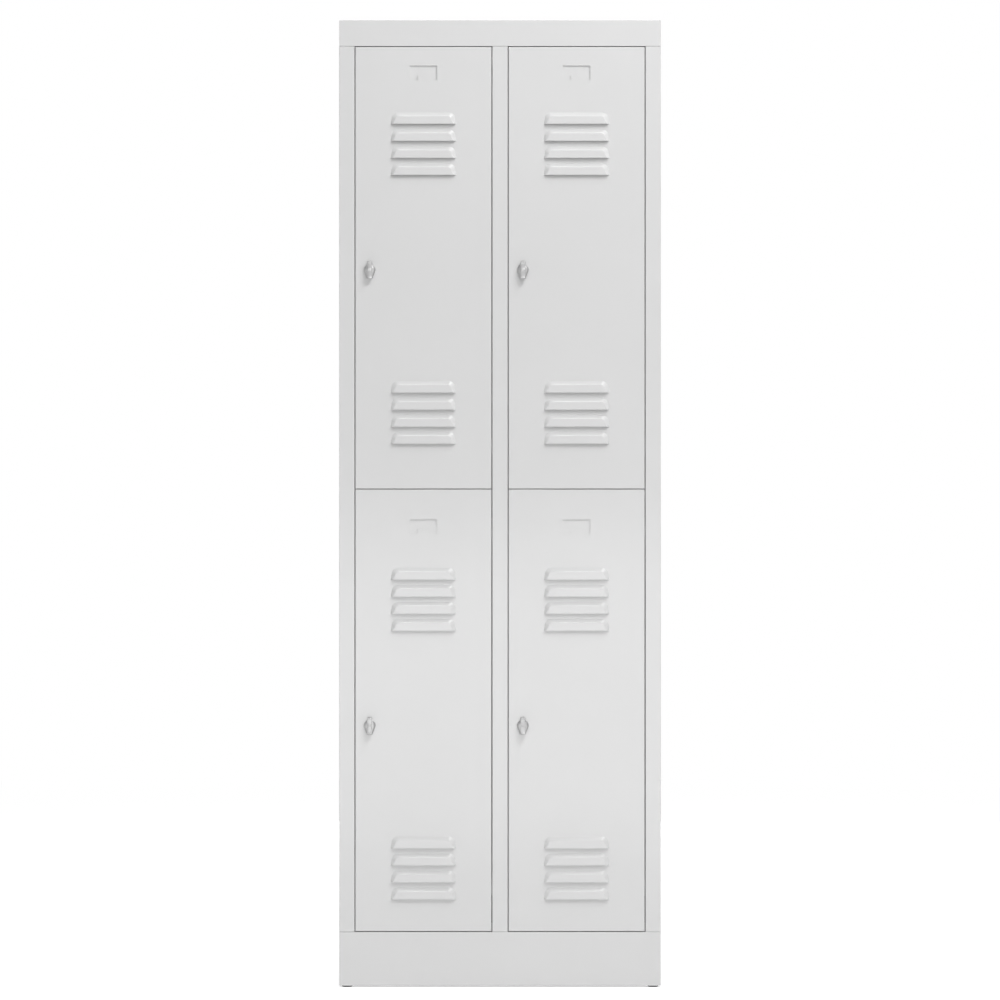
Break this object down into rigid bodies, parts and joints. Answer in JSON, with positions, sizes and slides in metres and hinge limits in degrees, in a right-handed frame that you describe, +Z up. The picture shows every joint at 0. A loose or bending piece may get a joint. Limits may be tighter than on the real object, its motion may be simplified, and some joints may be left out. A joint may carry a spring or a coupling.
{
  "type": "locker cabinet",
  "caption": "Free-standing sheet-steel locker cabinet with hinged, louvred doors in columns and tiers, turn latches, middle shelves, clothes rails and a plinth on low feet.",
  "frame": {"origin": "on the floor under the middle of the overall box, latch grips included", "axes": "+Z up, +X to the right as the doors are faced, +Y from the doors to the back, so the front faces -Y"},
  "size_m": [0.6, 0.512, 1.803],
  "materials": {
    "carcass_paint": "fine powder coat, low sheen light grey",
    "door_paint": "fine powder coat, low sheen light grey",
    "chrome": "bright plated die-cast zinc",
    "zinc_steel": "zinc-plated steel",
    "black_plastic": "matt black",
    "grey_plastic": "matt grey",
    "rubber": "matt black"
  },
  "bodies": {
    "carcass": {"left_side_panel": "carcass_paint", "right_side_panel": "carcass_paint", "back_panel": "carcass_paint", "top_panel": "carcass_paint", "plinth_panel": "carcass_paint", "floor_panel": "carcass_paint", "centre_stile": "carcass_paint", "centre_partition": "carcass_paint", "left_middle_shelf": "carcass_paint", "right_middle_shelf": "carcass_paint", "front_left_foot": "black_plastic", "front_right_foot": "black_plastic", "rear_left_foot": "black_plastic", "rear_right_foot": "black_plastic", "upper_left_clothes_rail": "zinc_steel", "upper_left_hinge_leaves": "zinc_steel", "upper_right_clothes_rail": "zinc_steel", "upper_right_hinge_leaves": "zinc_steel", "lower_left_clothes_rail": "zinc_steel", "lower_left_hinge_leaves": "zinc_steel", "lower_right_clothes_rail": "zinc_steel", "lower_right_hinge_leaves": "zinc_steel", "rail_sockets": "grey_plastic", "coat_hooks": "grey_plastic", "hinge_pins": "zinc_steel", "door_bumpers": "rubber"},
    "upper_left_door": {"upper_left_door_panel": "door_paint", "upper_left_door_stiffener": "door_paint", "upper_left_hinge_brackets": "zinc_steel", "upper_left_latch_housing": "chrome", "upper_left_latch_nut": "zinc_steel"},
    "upper_left_latch": {"upper_left_latch_grip": "chrome", "upper_left_latch_cam": "zinc_steel", "upper_left_cam_screw": "zinc_steel"},
    "upper_right_door": {"upper_right_door_panel": "door_paint", "upper_right_door_stiffener": "door_paint", "upper_right_hinge_brackets": "zinc_steel", "upper_right_latch_housing": "chrome", "upper_right_latch_nut": "zinc_steel"},
    "upper_right_latch": {"upper_right_latch_grip": "chrome", "upper_right_latch_cam": "zinc_steel", "upper_right_cam_screw": "zinc_steel"},
    "lower_left_door": {"lower_left_door_panel": "door_paint", "lower_left_door_stiffener": "door_paint", "lower_left_hinge_brackets": "zinc_steel", "lower_left_latch_housing": "chrome", "lower_left_latch_nut": "zinc_steel"},
    "lower_left_latch": {"lower_left_latch_grip": "chrome", "lower_left_latch_cam": "zinc_steel", "lower_left_cam_screw": "zinc_steel"},
    "lower_right_door": {"lower_right_door_panel": "door_paint", "lower_right_door_stiffener": "door_paint", "lower_right_hinge_brackets": "zinc_steel", "lower_right_latch_housing": "chrome", "lower_right_latch_nut": "zinc_steel"},
    "lower_right_latch": {"lower_right_latch_grip": "chrome", "lower_right_latch_cam": "zinc_steel", "lower_right_cam_screw": "zinc_steel"}
  },
  "joints": [
    {"name": "upper_left_door_hinge", "type": "hinge", "parent": "carcass", "child": "upper_left_door", "pos_m": [-0.0259, -0.239, 1.34125], "axis": [0, 0, 1], "range_deg": [0, 110]},
    {"name": "upper_right_door_hinge", "type": "hinge", "parent": "carcass", "child": "upper_right_door", "pos_m": [0.2597, -0.239, 1.34125], "axis": [0, 0, 1], "range_deg": [0, 110]},
    {"name": "lower_left_door_hinge", "type": "hinge", "parent": "carcass", "child": "lower_left_door", "pos_m": [-0.0259, -0.239, 0.51625], "axis": [0, 0, 1], "range_deg": [0, 110]},
    {"name": "lower_right_door_hinge", "type": "hinge", "parent": "carcass", "child": "lower_right_door", "pos_m": [0.2597, -0.239, 0.51625], "axis": [0, 0, 1], "range_deg": [0, 110]},
    {"name": "upper_left_latch_turn", "type": "hinge", "parent": "upper_left_door", "child": "upper_left_latch", "pos_m": [-0.243, -0.244, 1.337], "axis": [0, 1, 0], "range_deg": [0, 90]},
    {"name": "upper_right_latch_turn", "type": "hinge", "parent": "upper_right_door", "child": "upper_right_latch", "pos_m": [0.0426, -0.244, 1.337], "axis": [0, 1, 0], "range_deg": [0, 90]},
    {"name": "lower_left_latch_turn", "type": "hinge", "parent": "lower_left_door", "child": "lower_left_latch", "pos_m": [-0.243, -0.244, 0.488], "axis": [0, 1, 0], "range_deg": [0, 90]},
    {"name": "lower_right_latch_turn", "type": "hinge", "parent": "lower_right_door", "child": "lower_right_latch", "pos_m": [0.0426, -0.244, 0.488], "axis": [0, 1, 0], "range_deg": [0, 90]}
  ]
}
